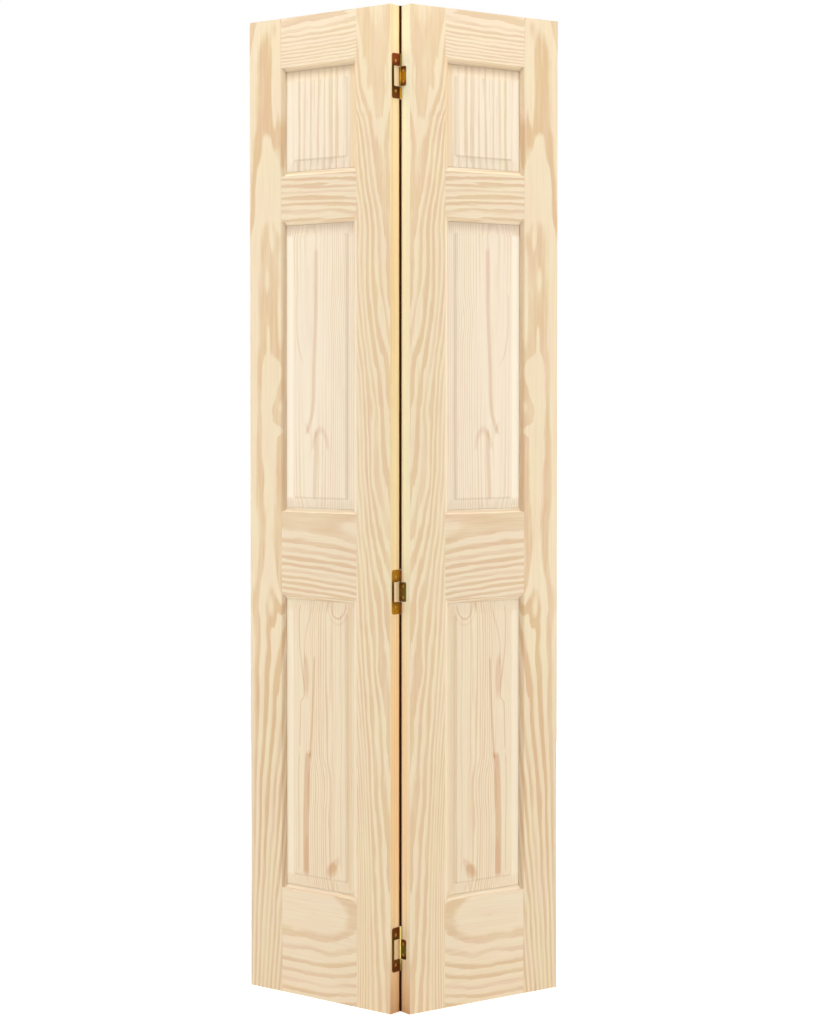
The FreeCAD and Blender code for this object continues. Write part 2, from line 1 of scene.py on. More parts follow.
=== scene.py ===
"""The look of a pine bifold closet door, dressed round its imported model.

Every wooden piece is cut from a board of its own. A board's figure is worked out in the
leaf's own millimetres, through the whole thickness, so faces, edges and ends agree: x runs
from the outer edge towards the fold, y from the front face into the wood, z from the top
down. The two leaves are cut alike, as mirror images about the fold.
"""
import json
import math

import bpy
from mathutils import Euler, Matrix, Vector

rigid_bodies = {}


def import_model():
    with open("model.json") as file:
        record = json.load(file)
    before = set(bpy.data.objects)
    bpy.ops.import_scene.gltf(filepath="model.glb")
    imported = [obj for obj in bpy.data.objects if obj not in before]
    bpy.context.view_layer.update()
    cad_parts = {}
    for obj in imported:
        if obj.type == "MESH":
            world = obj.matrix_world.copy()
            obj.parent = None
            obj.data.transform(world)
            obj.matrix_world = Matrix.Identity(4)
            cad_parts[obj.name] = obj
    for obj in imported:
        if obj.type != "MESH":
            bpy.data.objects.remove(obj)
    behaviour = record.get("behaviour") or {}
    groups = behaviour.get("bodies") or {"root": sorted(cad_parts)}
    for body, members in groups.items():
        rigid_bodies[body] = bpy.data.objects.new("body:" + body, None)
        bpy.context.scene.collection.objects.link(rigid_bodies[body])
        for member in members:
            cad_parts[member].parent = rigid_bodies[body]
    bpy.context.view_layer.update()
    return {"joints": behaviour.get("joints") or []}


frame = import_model()

# ------------------------------------------------------------------ sizes of the door, mm

MM = 0.001
LEAF_WIDTH = 374.0
LEAF_HEIGHT = 2006.6
LEAF_THICKNESS = 28.575
EDGE_GAP = 1.7
PIN_SETBACK = 2.5
HINGES = ("top_hinge", "middle_hinge", "bottom_hinge")
HINGE_DROPS = (140.0, 1163.6, 1879.6)  # from the top of the door to each hinge's middle
HINGE_HEIGHT = 88.9
KNUCKLE_REACH = 2.9  # from the pin's axis to just past the knuckles
FOLD_DEGREES = 36.65  # each leaf's turn from flat
PIN = Vector(frame["joints"][0]["pos_m"])
FLIP = {"left": 1, "right": -1}  # the leaves are mirror images

# ---------------------------------------------------------------------------------- colours
# Written as plain 0-255 screen colours.

STILE_EARLY = (245, 226, 192)
STILE_LATE = (226, 192, 149)
HINGE_STILE_LATE = (232, 201, 160)
TOP_RAIL_EARLY = (248, 228, 199)
TOP_RAIL_LATE = (232, 205, 167)
RAIL_EARLY = (244, 225, 195)
RAIL_LATE = (228, 197, 157)
PANEL_EARLY = (250, 234, 209)
PANEL_LATE = (238, 215, 182)
TOP_PANEL_LATE = (232, 208, 175)
LOW_PANEL_EARLY = (245, 227, 196)
LOW_PANEL_LATE = (231, 202, 165)
# The meeting edges' colours; the right one is paler as painted light.
EDGES = {"left": (254, 235, 186), "right": (255, 250, 216)}
EDGE_LINE = (255, 184, 118)
EDGE_FOOT_SHADE = (201, 156, 108)
# Painted shade (brown, also a tint of the lower outer stile), painted light, and a straw tint that
# is partly painted shade, for the mouldings and fields.
PAINTED_SHADE_AND_TINT = (170, 130, 92)
PAINTED_LIGHT = (255, 243, 220)
STRAW_TINT_AND_SHADE = (240, 206, 155)
RESIN = (198, 128, 60)
DOWEL_EARLY = (236, 208, 168)
DOWEL_LATE = (205, 168, 122)

# ----------------------------------------------------------------------- growth of the wood

# Each role's board. A ring is one pale early band and one tan late band. "Along" runs with
# the grain and "across" over it, both in the leaf's millimetres.
#   grain: the axis that the grain follows
#   heart: where the rings turn over, as (along, across)
#   bow: how deep the rings' centre lies there, and the distance between rings; a negative
#        distance turns the arches upside down
#   spread: how many times closer the rings stand, as (along, times)
#   layers: thickness of one ring, measured into the wood
#   climb: rings gained along the board, as (along, rings)
#   wobble: size of the random waver in rings, and its reach across and along
#   late: share of a ring that is late wood
#   hills: where the ring surface swells: (x, z, half width, half height, lean, rings)
#   calm: where the bands fade: (x, z, half width, half height, lean, share)
#   stains: resin marks: (x, z, half width, half height, lean, strength)
#   seams: resin lines along the grain: (half width, strength, [(along, across), ...])
#   arcs: half rings round a knot, upper ones of a positive height:
#         (x, z, half width, half height, thickness as a share, strength)
FIGURES = {
    "outer_stile": {
        "grain": "z", "bow": (20.0, -40.0), "layers": 9.0, "late": 0.50,
        "heart": [
            (0, 46), (220, 46), (300, 50), (1000, 54), (1140, 56), (1240, 84), (1340, 118),
            (1500, 140), (2006, 140),
        ],
        "spread": [
            (0, 1.0), (380, 1.0), (450, 0.72), (640, 0.72), (720, 1.0), (1100, 1.0), (1340, 1.4),
            (1500, 1.9), (1740, 2.8), (2006, 3.7),
        ],
        "climb": [
            (0, 0.25), (40, 0.50), (80, 0.72), (130, 0.76), (215, 0.82), (245, 1.02), (330, 1.18),
            (400, 1.32), (430, 1.55), (560, 1.70), (670, 1.86), (690, 2.0), (720, 2.14),
            (850, 2.15), (960, 2.10), (1100, 2.06), (1240, 3.14), (1340, 4.6), (1500, 6.75),
            (1740, 9.8), (2006, 12.9),
        ],
        "wobble": (0.08, 16.0, 70.0),
        "hills": [
            (75, 15, 24, 54, 0, 0.45), (68, 140, 14, 130, 0, -0.42), (86, 232, 20, 84, 0, 0.38),
            (22, 350, 24, 100, 0, 0.35), (84, 335, 34, 100, 0, 0.42), (60, 448, 8, 44, 3, -0.42),
            (80, 455, 16, 40, 0, 0.20), (84, 610, 12, 90, 0, -0.30), (48, 535, 10, 46, 0, -0.46),
            (51, 655, 8, 62, 0, 0.30), (80, 722, 22, 50, 0, 0.32), (82, 796, 27, 30, 0, -0.36),
            (64, 806, 9, 26, 0, -0.22), (70, 824, 14, 12, 0, -0.16), (82, 845, 15, 17, 0, 0.42),
            (58, 752, 8, 24, 20, -0.16), (12, 760, 20, 270, 0, -0.40),
            (14, 1100, 20, 140, 0, -0.30), (84, 1140, 18, 100, 0, -0.30),
            (60, 1215, 16, 44, 6, -0.45), (58, 1275, 14, 60, 8, 0.25), (70, 1400, 14, 60, 8, 0.22),
            (34, 1590, 18, 90, 4, 0.20), (60, 1660, 16, 80, 8, -0.22), (82, 1580, 16, 70, 8, 0.20),
            (44, 1780, 14, 70, 8, -0.20), (72, 1830, 16, 60, 8, 0.22), (22, 1850, 14, 80, 2, 0.18),
        ],
        "calm": [(44, 1880, 160, 330, 0, 0.40)],
    },
    "hinge_stile": {
        "grain": "z", "bow": (30.0, 9.0), "layers": 6.0, "late": 0.56,
        "heart": [
            (0, 337), (100, 338), (200, 347), (300, 351), (420, 372), (520, 384), (2006, 386),
        ],
        "spread": [
            (0, 0.20), (100, 0.24), (200, 0.54), (300, 0.90), (420, 0.80), (520, 0.62),
            (2006, 0.62),
        ],
        "climb": [
            (0, -0.72), (50, -0.52), (100, -0.42), (200, -0.24), (232, -0.05), (305, 0.42),
            (430, 0.50), (520, 0.5), (600, 0.85), (700, 1.9), (760, 2.45), (900, 2.9),
            (1000, 3.8), (1200, 6.1), (1500, 7.6), (2006, 9.4),
        ],
        "wobble": (0.22, 14.0, 90.0),
        "hills": [
            (276, 150, 32, 170, 0, 0.80), (355, 605, 12, 66, 12, 0.50), (362, 712, 18, 52, 0, 0.20),
            (334, 800, 18, 50, 10, 0.45), (330, 950, 16, 70, 6, -0.35),
            (352, 1180, 16, 50, 0, 0.40), (346, 1330, 16, 70, 4, -0.40),
            (246, 900, 92, 620, 0, 2.6), (258, 1750, 76, 640, 0, 6.0),
        ],
        "calm": [(296, 900, 34, 560, 0, 0.45), (300, 1750, 34, 400, 0, 0.35)],
    },
    "top_rail": {
        "grain": "x", "bow": (90.0, 4.8), "layers": 5.0, "late": 0.50,
        "heart": [(87, -5.0)], "climb": [(87, 0.42), (200, 0.58), (287, 1.1)],
        "wobble": (0.26, 13.0, 60.0),
    },
    "frieze_rail": {
        "grain": "x", "bow": (40.0, 11.5), "layers": 5.0, "late": 0.50,
        "heart": [(87, 440.0)], "climb": [(87, 0.0), (200, 0.25), (287, 0.72)],
        "wobble": (0.26, 10.0, 80.0),
        "hills": [(180, 352, 260, 12, 2, 0.35), (250, 400, 90, 14, 0, -0.25)],
    },
    "lock_rail": {
        "grain": "x", "bow": (75.0, 10.5), "layers": 6.0, "late": 0.50,
        "heart": [(87, 1028.0), (287, 1038.0)], "climb": [(87, -0.30), (180, -0.36), (287, -0.70)],
        "wobble": (0.15, 14.0, 60.0),
    },
    "bottom_rail": {
        "grain": "x", "bow": (120.0, 15.0), "layers": 6.0, "late": 0.42,
        "heart": [(87, 1830.0), (287, 1826.0)],
        "climb": [(87, 0.12), (150, 0.06), (200, 0.0), (245, 0.30), (287, 0.62)],
        "wobble": (0.12, 20.0, 45.0),
        "hills": [(292, 1826, 70, 60, 0, 0.20), (160, 1908, 60, 18, 0, 0.25)],
        "calm": [(187, 1900, 600, 600, 0, 0.2)],
    },
    "top_panel": {
        "grain": "z", "bow": (10.0, 17.0), "layers": 14.0, "late": 0.42,
        "heart": [(97, -208.0)], "climb": [(97, 0.0), (312, 0.1)],
        "wobble": (0.34, 9.0, 260.0),
        "calm": [
            (112, 210, 20, 200, 0, 0.7), (252, 210, 14, 160, 0, 0.8), (272, 210, 12, 160, 0, 0.7),
        ],
    },
    "middle_panel": {
        "grain": "z", "bow": (60.0, 4.2), "layers": 8.0, "late": 0.40,
        "heart": [(426, 165.0)], "climb": [(426, 0.0), (1000, 0.9)],
        "wobble": (0.22, 12.0, 140.0),
        "hills": [(235, 620, 34, 60, 0, 0.9), (150, 690, 30, 80, 0, 0.6)],
        "calm": [(150, 700, 66, 420, 0, 0.95), (196, 640, 26, 300, 0, 0.8)],
        "seams": [
            (5.6, 0.24, [
                (470, 180), (520, 180), (620, 178), (720, 173), (790, 171), (825, 163), (856, 149),
            ]),
            (5.6, 0.26, [(838, 180), (900, 177), (990, 174)]),
            (1.6, 0.20, [(560, 127), (640, 127), (680, 134), (712, 150)]),
        ],
        "stains": [(156, 840, 6, 18, 25, 0.12)],
        "arcs": [(190, 880, 19, 38, 0.34, 0.20)],
    },
    "bottom_panel": {
        "grain": "z", "bow": (12.0, 5.4), "layers": 10.0, "late": 0.42,
        "heart": [(1192, 214.0), (1500, 214.0), (1566, 222.0), (1640, 219.0), (1780, 220.0)],
        "climb": [(1192, 0.0), (1780, 0.3)],
        "wobble": (0.34, 13.0, 190.0),
        "hills": [(160, 1236, 16, 42, 0, 0.9)],
        "calm": [
            (106, 1486, 42, 1500, 0, 0.92), (146, 1486, 34, 1500, 0, 0.80),
            (240, 1486, 30, 1500, 0, 0.95), (270, 1486, 26, 1500, 0, 0.6),
        ],
        "stains": [
            (151, 1345, 11, 56, 2, 0.26), (153, 1720, 9, 60, 0, 0.12), (159, 1580, 5, 60, 0, 0.16),
            (220, 1738, 17, 22, -34, 0.30), (226, 1728, 11, 28, -38, 0.20),
        ],
        "seams": [
            (1.8, 0.30, [
                (1195, 137), (1240, 133), (1330, 140), (1385, 146), (1400, 137), (1500, 134),
            ]),
            (2.0, 0.20, [(1200, 168), (1230, 160), (1262, 150), (1300, 147), (1330, 150)]),
            (3.0, 0.34, [(1300, 173), (1340, 172), (1440, 167), (1520, 160)]),
            (1.8, 0.24, [(1500, 134), (1580, 131), (1680, 132), (1752, 131)]),
            (1.6, 0.18, [(1210, 245), (1300, 243), (1450, 246), (1600, 243), (1740, 245)]),
            (9.4, 0.40, [(1496, 160), (1560, 153), (1640, 151), (1760, 151)]),
            (1.8, 0.26, [(1755, 226), (1768, 232), (1784, 236)]),
        ],
        "arcs": [(236, 1196, 19, -28, 0.14, 0.35), (236, 1192, 28, -44, 0.10, 0.12)],
    },
}

# How far a resin line takes to fade at its ends.
SEAM_TAPER = 14.0

# The meeting edge down the door: how far painted shade darkens it towards the floor, as (z, share),
# and how strong its orange lines are.
EDGE_FOOT_SHADE_SHARE = [(0, 0.0), (1200, 0.02), (1800, 0.10), (1950, 0.6), (2006, 1.0)]
EDGE_LINES = {
    "left": [(0, 0.24), (500, 0.40), (1200, 0.52), (1850, 0.56), (2006, 0.20)],
    "right": [(0, 0.08), (900, 0.16), (1500, 0.50), (1850, 0.56), (2006, 0.20)],
}

# Tones along the mouldings and round the raised fields, mostly painted shade and painted light,
# with a few plain tints of the wood: the tone, its box on the face as from x, to x, from z, to z,
# how far round the box it fades, and its strength.
PAINTED_SHADE_LIGHT_AND_TINTS = {
    "outer_stile": [(PAINTED_SHADE_AND_TINT, 92, 92, 0, 2007, 9.0, 0.38), (PAINTED_SHADE_AND_TINT, 0, 88, 1480, 2007, 240.0, 0.08)],
    "hinge_stile": [
        (STRAW_TINT_AND_SHADE, 280, 285, 106, 318, 4.0, 0.45), (PAINTED_LIGHT, 283, 286, 425, 1005, 4.0, 0.40),
        (PAINTED_LIGHT, 283, 286, 1190, 1784, 4.0, 0.25),
    ],
    "top_rail": [(PAINTED_SHADE_AND_TINT, 0, 374, 107, 107, 8.0, 0.32), (STRAW_TINT_AND_SHADE, 0, 374, 103, 109, 3.0, 0.15)],
    "frieze_rail": [(PAINTED_LIGHT, 0, 374, 316, 321, 3.5, 0.12), (STRAW_TINT_AND_SHADE, 0, 374, 417, 423, 3.0, 0.12)],
    "lock_rail": [(PAINTED_LIGHT, 0, 374, 1004, 1009, 3.5, 0.20)],
    "top_panel": [
        (PAINTED_SHADE_AND_TINT, 0, 374, 109, 109, 24.0, 0.42), (STRAW_TINT_AND_SHADE, 0, 374, 109, 125, 14.0, 0.18),
        (PAINTED_SHADE_AND_TINT, 122, 257, 292, 292, 3.4, 0.26), (PAINTED_SHADE_AND_TINT, 260.5, 260.5, 136, 290, 4.6, 0.22),
        (PAINTED_LIGHT, 100, 113, 132, 292, 7.0, 0.20), (STRAW_TINT_AND_SHADE, 271, 279, 112, 312, 6.0, 0.50),
    ],
    "middle_panel": [
        (PAINTED_SHADE_AND_TINT, 0, 374, 425, 425, 30.0, 0.24), (PAINTED_SHADE_AND_TINT, 0, 374, 996, 996, 16.0, 0.06),
        (PAINTED_SHADE_AND_TINT, 122, 257, 981, 981, 3.4, 0.20), (PAINTED_SHADE_AND_TINT, 260.5, 260.5, 450, 979, 4.6, 0.24),
        (PAINTED_LIGHT, 100, 113, 450, 978, 7.0, 0.80), (PAINTED_LIGHT, 268, 272, 450, 978, 5.0, 0.20),
    ],
    "bottom_panel": [
        (PAINTED_SHADE_AND_TINT, 122, 257, 1757, 1757, 3.4, 0.18), (PAINTED_SHADE_AND_TINT, 261, 261, 1218, 1755, 4.2, 0.22),
        (PAINTED_LIGHT, 100, 113, 1216, 1754, 7.0, 0.34), (STRAW_TINT_AND_SHADE, 264, 268, 1200, 1770, 5.0, 0.35),
        (PAINTED_LIGHT, 276, 279, 1200, 1770, 3.0, 0.30),
    ],
}

# Each role's two wood colours.
TINTS = {
    "outer_stile": (STILE_EARLY, STILE_LATE),
    "hinge_stile": (STILE_EARLY, HINGE_STILE_LATE),
    "top_rail": (TOP_RAIL_EARLY, TOP_RAIL_LATE),
    "frieze_rail": (RAIL_EARLY, RAIL_LATE),
    "lock_rail": (RAIL_EARLY, RAIL_LATE),
    "bottom_rail": (RAIL_EARLY, RAIL_LATE),
    "top_panel": (PANEL_EARLY, TOP_PANEL_LATE),
    "middle_panel": (PANEL_EARLY, PANEL_LATE),
    "bottom_panel": (LOW_PANEL_EARLY, LOW_PANEL_LATE),
}

# ------------------------------------------------------------------------ the planed surface

# The reach of each kind of lump across, into and along the grain, in millimetres.
YEAR_REACH = (14.0, 14.0, 110.0)
HAIR_REACH = (0.8, 0.8, 45.0)
STREAK_REACH = (2.6, 2.6, 130.0)
CLOUD_REACH = (60.0, 60.0, 260.0)
DUCT_REACH = (0.55, 0.55, 7.0)
HUE_REACH = (30.0, 30.0, 120.0)
EDGE_LINE_REACH = (60.0, 2.7, 700.0)  # in the leaf's x, y and z
DOWEL_REACH = (30.0, 0.9, 0.9)  # in the leaf's x, y and z
# Where late wood lies in a ring, as shares of the ring: where it would start if it had no
# width, how long it takes to come, and where the next spring cuts it off.
LATE_START, LATE_RISE, LATE_END = 0.80, 0.32, 0.88
# The late colour that the ground, the streaks, the hairs and the clouds each bring.
GROUND_TONE, STREAK_TONE, HAIR_TONE, CLOUD_TONE = 0.08, 0.42, 0.12, 0.22
WOOD_ROUGHNESS = 0.62
WOOD_SPECULAR = 0.32
WOOD_BUMP = {"Strength": 0.25, "Distance": 0.00012}
DOWEL_ROUGHNESS = 0.60
# Each board is cut from its own place in the wood, this far from the last one's.
BOARD_STEP = 37.0
RIGHT_LEAF_BOARDS = 500.0
# The edge's own tone starts and is full this far from the fold, and covers this share.
EDGE_TONE_START, EDGE_TONE_FULL, EDGE_TONE_SHARE = 1.0, 0.2, 0.92


# ------------------------------------------------------------------------------ node writing

def linear(colour):
    """A screen colour as Blender's own linear colour."""
    shades = [part / 255 for part in colour]
    bright = [s / 12.92 if s <= 0.04045 else ((s + 0.055) / 1.055) ** 2.4 for s in shades]
    return (*bright, 1.0)


class Net:
    """Nodes added to one tree. A value is a number, a vector, a colour or another output."""

    def __init__(self, tree):
        self.tree = tree

    def fill(self, socket, value):
        """Link or set one input."""
        if isinstance(value, bpy.types.NodeSocket):
            self.tree.links.new(value, socket)
        else:
            socket.default_value = value

    def add(self, kind, values=None, **settings):
        node = self.tree.nodes.new("ShaderNode" + kind)
        for name, setting in settings.items():
            setattr(node, name, setting)
        for key, value in (values or {}).items():
            self.fill(node.inputs[key], value)
        return node

    def math(self, operation, *values, clamp=False):
        node = self.add("Math", dict(enumerate(values)), operation=operation, use_clamp=clamp)
        return node.outputs[0]

    def vector(self, operation, *values):
        node = self.add("VectorMath", dict(enumerate(values)), operation=operation)
        return node.outputs["Value" if operation in ("LENGTH", "DISTANCE") else "Vector"]

    def scaled(self, vector, times):
        node = self.add("VectorMath", {0: vector, "Scale": times}, operation="SCALE")
        return node.outputs["Vector"]

    def parts(self, vector):
        return self.add("SeparateXYZ", {0: vector}).outputs

    def joined(self, x, y, z):
        return self.add("CombineXYZ", {0: x, 1: y, 2: z}).outputs[0]

    def noise(self, where, reach, detail=2.0, roughness=0.5):
        """Soft noise about 0, from -1 to 1, whose lumps have the given reach along each axis."""
        scaled = self.vector("DIVIDE", where, reach)
        values = {"Vector": scaled, "Scale": 1.0, "Detail": detail, "Roughness": roughness}
        texture = self.add("TexNoise", values)
        return self.math("MULTIPLY_ADD", texture.outputs["Fac"], 2.0, -1.0)

    def remap(self, value, low, high, to_low, to_high, smooth=False):
        values = {
            "Value": value, "From Min": low, "From Max": high, "To Min": to_low, "To Max": to_high,
        }
        kind = "SMOOTHSTEP" if smooth else "LINEAR"
        return self.add("MapRange", values, interpolation_type=kind).outputs["Result"]

    def blend(self, factor, first, second):
        """Two colours mixed by a factor."""
        node = self.add("Mix", data_type="RGBA", blend_type="MIX")
        for index, value in ((0, factor), (6, first), (7, second)):
            self.fill(node.inputs[index], value)
        return node.outputs[2]

    def curve(self, value, points):
        """A smooth curve through given (place, height) points."""
        low, high = points[0][0], points[-1][0]
        heights = [height for _, height in points]
        base, span = min(heights), max(heights) - min(heights)
        if span == 0.0:
            return base
        node = self.add("FloatCurve", {"Value": self.remap(value, low, high, 0.0, 1.0)})
        curve = node.mapping.curves[0]
        for index, (place, height) in enumerate(points):
            spot = ((place - low) / (high - low), (height - base) / span)
            if index < 2:
                curve.points[index].location = spot
            else:
                curve.points.new(*spot)
        node.mapping.update()
        return self.math("MULTIPLY_ADD", node.outputs[0], span, base)


def new_group(name, inputs, outputs):
    """An empty node group, its net, its inputs and its output node."""
    tree = bpy.data.node_groups.new(name, "ShaderNodeTree")
    for label, kind in inputs.items():
        tree.interface.new_socket(label, in_out="INPUT", socket_type="NodeSocket" + kind)
    for label, kind in outputs.items():
        tree.interface.new_socket(label, in_out="OUTPUT", socket_type="NodeSocket" + kind)
    net = Net(tree)
    given = tree.nodes.new("NodeGroupInput").outputs
    result = tree.nodes.new("NodeGroupOutput").inputs
    return tree, net, given, result


def use_group(net, tree, values):
    """A copy of a node group in a net, with its inputs filled."""
    node = net.tree.nodes.new("ShaderNodeGroup")
    node.node_tree = tree
    for key, value in values.items():
        net.fill(node.inputs[key], value)
    return node.outputs


def new_material(name):
    """A material with a bare Principled shader, and its net."""
    material = bpy.data.materials.new(name)
    material.use_nodes = True
    shader = material.node_tree.nodes["Principled BSDF"]
    return material, Net(material.node_tree), shader


# --------------------------------------------------------------------------------- the pine

def leaf_place(net, leaf):
    """The leaf's own millimetres: from the outer edge, into the wood, down from the top."""
    flip = FLIP[leaf]
    fold = math.radians(FOLD_DEGREES)
    scale = Vector((flip, 1.0, -1.0)) / MM
    turn = Euler((0.0, 0.0, fold))
    pin = Vector((PIN.x * scale.x, PIN.y * scale.y, 0.0))
    pin.rotate(turn)
    shift = Vector((
        LEAF_WIDTH + EDGE_GAP / 2 - pin.x,
        PIN_SETBACK + LEAF_THICKNESS - pin.y,
        LEAF_HEIGHT,
    ))
    world = net.add("TexCoord").outputs["Object"]
    values = {"Vector": world, "Location": shift, "Rotation": turn, "Scale": scale}
    return net.add("Mapping", values, vector_type="POINT").outputs[0]


def add_lumps(net, place, lumps, start, top=1.0):
    """Smooth oval lumps added to a value; each is (x, z, half width, half height, lean, rise).

    A lump reaches its whole rise at this share of the way in: its top is flat from there.
    """
    total = start
    for x, z, half_width, half_height, lean, rise in lumps:
        spot = net.add("Mapping", {
            "Vector": place,
            "Location": (x, 0.0, z),
            "Rotation": (0.0, math.radians(lean), 0.0),
            "Scale": (half_width, 1e5, half_height),
        }, vector_type="TEXTURE").outputs[0]
        ball = net.add("TexGradient", {"Vector": spot}, gradient_type="SPHERICAL").outputs["Fac"]
        total = net.math("ADD", total, net.remap(ball, 0.0, top, 0.0, rise, smooth=True))
    return total


def add_seams(net, across, along, seams, start):
    """Thin lines along the grain, faded at both ends, added to a value."""
    total = start
    for half_width, strength, points in seams:
        off = net.math("ABSOLUTE", net.math("SUBTRACT", across, net.curve(along, points)))
        line = net.remap(off, half_width, half_width * 0.6, 0.0, strength, smooth=True)
        for end, inwards in ((points[0][0], SEAM_TAPER), (points[-1][0], -SEAM_TAPER)):
            taper = net.remap(along, end, end + inwards, 0.0, 1.0, smooth=True)
            line = net.math("MULTIPLY", line, taper)
        total = net.math("ADD", total, line)
    return total


def add_arcs(net, place, arcs, start):
    """Half rings added to a value."""
    total = start
    for x, z, half_width, half_height, share, strength in arcs:
        spot = net.add("Mapping", {
            "Vector": place, "Location": (x, 0.0, z), "Scale": (half_width, 1e5, half_height),
        }, vector_type="TEXTURE").outputs[0]
        off = net.math("ABSOLUTE", net.math("SUBTRACT", net.vector("LENGTH", spot), 1.0))
        line = net.remap(off, share, 0.0, 0.0, strength, smooth=True)
        half = net.remap(net.parts(spot)[2], 0.15, -0.15, 0.0, 1.0)
        total = net.math("ADD", total, net.math("MULTIPLY", line, half))
    return total


def figure_group(role):
    """The ring number, the calm and the resin at each place of one role's board."""
    figure = FIGURES[role]
    tree, net, given, result = new_group(
        f"{role}_figure",
        {"Place": "Vector"},
        {"Rings": "Float", "Calm": "Float", "Resin": "Float", "Fibre": "Vector"},
    )
    place = given["Place"]
    x, depth, z = net.parts(place)[:3]
    across, along = (x, z) if figure["grain"] == "z" else (z, x)
    hollow, spacing = figure["bow"]
    amount, reach_across, reach_along = figure["wobble"]
    fibre = net.joined(across, depth, along)

    side = net.math("SUBTRACT", across, net.curve(along, figure["heart"]))
    reach = net.math("SQRT", net.math("MULTIPLY_ADD", side, side, hollow ** 2))
    rings = net.math("MULTIPLY_ADD", reach, 1.0 / spacing, -hollow / spacing)
    rings = net.math("MULTIPLY", rings, net.curve(along, figure.get("spread", [(0, 1.0)])))
    rings = net.math("MULTIPLY_ADD", depth, 1.0 / figure["layers"], rings)
    rings = net.math("ADD", rings, net.curve(along, figure["climb"]))
    waver = net.noise(fibre, (reach_across, reach_across, reach_along), detail=4.0)
    rings = net.math("MULTIPLY_ADD", waver, 2.0 * amount, rings)

    resin = add_lumps(net, place, figure.get("stains", []), 0.0, top=0.5)
    resin = add_seams(net, across, along, figure.get("seams", []), resin)
    net.fill(result["Rings"], add_lumps(net, place, figure.get("hills", []), rings))
    net.fill(result["Calm"], add_lumps(net, place, figure.get("calm", []), 0.0))
    net.fill(result["Resin"], add_arcs(net, place, figure.get("arcs", []), resin))
    net.fill(result["Fibre"], fibre)
    return tree


def late_wood(net, given, fibre):
    """How fully each place is late wood, from 0 to 1."""
    ring = net.math("FRACT", given["Rings"])
    # Early wood darkens slowly into late wood, then the next spring starts at once.
    start = net.math("SUBTRACT", LATE_START, given["Late share"])
    rising = net.math("SUBTRACT", ring, start)
    rising = net.remap(rising, 0.0, LATE_RISE, 0.0, 1.0, smooth=True)
    ending = net.remap(ring, 1.0, LATE_END, 0.0, 1.0, smooth=True)
    late = net.math("MULTIPLY", rising, ending)
    # Some years grow darker late wood than others, and each year's tone drifts along it.
    year = net.math("FLOOR", given["Rings"])
    year = net.add("TexWhiteNoise", {"W": year}, noise_dimensions="1D").outputs["Value"]
    drift = net.noise(fibre, YEAR_REACH)
    strength = net.math("MULTIPLY_ADD", year, 0.55, 0.56)
    strength = net.math("MULTIPLY_ADD", drift, 0.55, strength)
    lively = net.math("SUBTRACT", 1.0, given["Calm"], clamp=True)
    return net.math("MULTIPLY", late, net.math("MULTIPLY", strength, lively))


def pine_group():
    """The colour, roughness and height of planed pine from its ring number."""
    tree, net, given, result = new_group(
        "planed_pine",
        {
            "Fibre": "Vector", "Rings": "Float", "Calm": "Float", "Resin": "Float",
            "Late share": "Float", "Early": "Color", "Late": "Color", "Board": "Float",
        },
        {"Colour": "Color", "Roughness": "Float", "Height": "Float"},
    )
    board = net.joined(given["Board"], given["Board"], given["Board"])
    fibre = net.vector("ADD", given["Fibre"], board)
    late = late_wood(net, given, fibre)
    hairs = net.noise(fibre, HAIR_REACH, detail=3.0, roughness=0.6)
    streaks = net.noise(fibre, STREAK_REACH, detail=2.5)
    clouds = net.noise(fibre, CLOUD_REACH)
    ducts = net.remap(net.noise(fibre, DUCT_REACH, detail=1.0), 0.50, 0.62, 0.0, 1.0)
    ducts = net.math("MULTIPLY", ducts, late)

    tone = net.math("ADD", late, GROUND_TONE)
    tone = net.math("MULTIPLY_ADD", streaks, STREAK_TONE, tone)
    tone = net.math("MULTIPLY_ADD", hairs, HAIR_TONE, tone)
    tone = net.math("MULTIPLY_ADD", clouds, CLOUD_TONE, tone)
    wood = net.blend(net.math("ADD", tone, 0.0, clamp=True), given["Early"], given["Late"])
    resin = net.math("MULTIPLY_ADD", hairs, 0.3, 1.0)
    resin = net.math("MULTIPLY", resin, given["Resin"], clamp=True)
    wood = net.blend(resin, wood, linear(RESIN))
    wood = net.blend(net.math("MULTIPLY", ducts, 0.35), wood, linear(RESIN))
    # A little life in the hue: cloudy pink, cloudy straw.
    hue = net.math("MULTIPLY_ADD", net.noise(fibre, HUE_REACH), 0.016, 0.5)
    value = net.math("MULTIPLY_ADD", clouds, 0.03, 1.0)
    wood = net.add("HueSaturation", {"Hue": hue, "Value": value, "Color": wood}).outputs[0]

    rough = net.math("MULTIPLY_ADD", late, -0.10, WOOD_ROUGHNESS)
    rough = net.math("MULTIPLY_ADD", hairs, 0.05, rough)
    height = net.math("MULTIPLY_ADD", late, 0.6, net.math("MULTIPLY", hairs, 0.4))
    height = net.math("MULTIPLY_ADD", ducts, -0.8, height)
    net.fill(result["Colour"], wood)
    net.fill(result["Roughness"], rough)
    net.fill(result["Height"], height)
    return tree


def meeting_edge(net, place, colour, leaf):
    """The bare meeting edge, yellower than the face, with painted shade darkening it towards the
    floor.
    """
    x, _, z = net.parts(place)[:3]
    tone = net.blend(net.curve(z, EDGE_FOOT_SHADE_SHARE), linear(EDGES[leaf]), linear(EDGE_FOOT_SHADE))
    lines = net.remap(net.noise(place, EDGE_LINE_REACH), -0.10, 0.18, 0.0, 1.0, smooth=True)
    lines = net.math("MULTIPLY", lines, net.curve(z, EDGE_LINES[leaf]))
    tone = net.blend(lines, tone, linear(EDGE_LINE))
    start, full = LEAF_WIDTH - EDGE_TONE_START, LEAF_WIDTH - EDGE_TONE_FULL
    share = net.remap(x, start, full, 0.0, EDGE_TONE_SHARE, smooth=True)
    return net.blend(share, colour, tone)


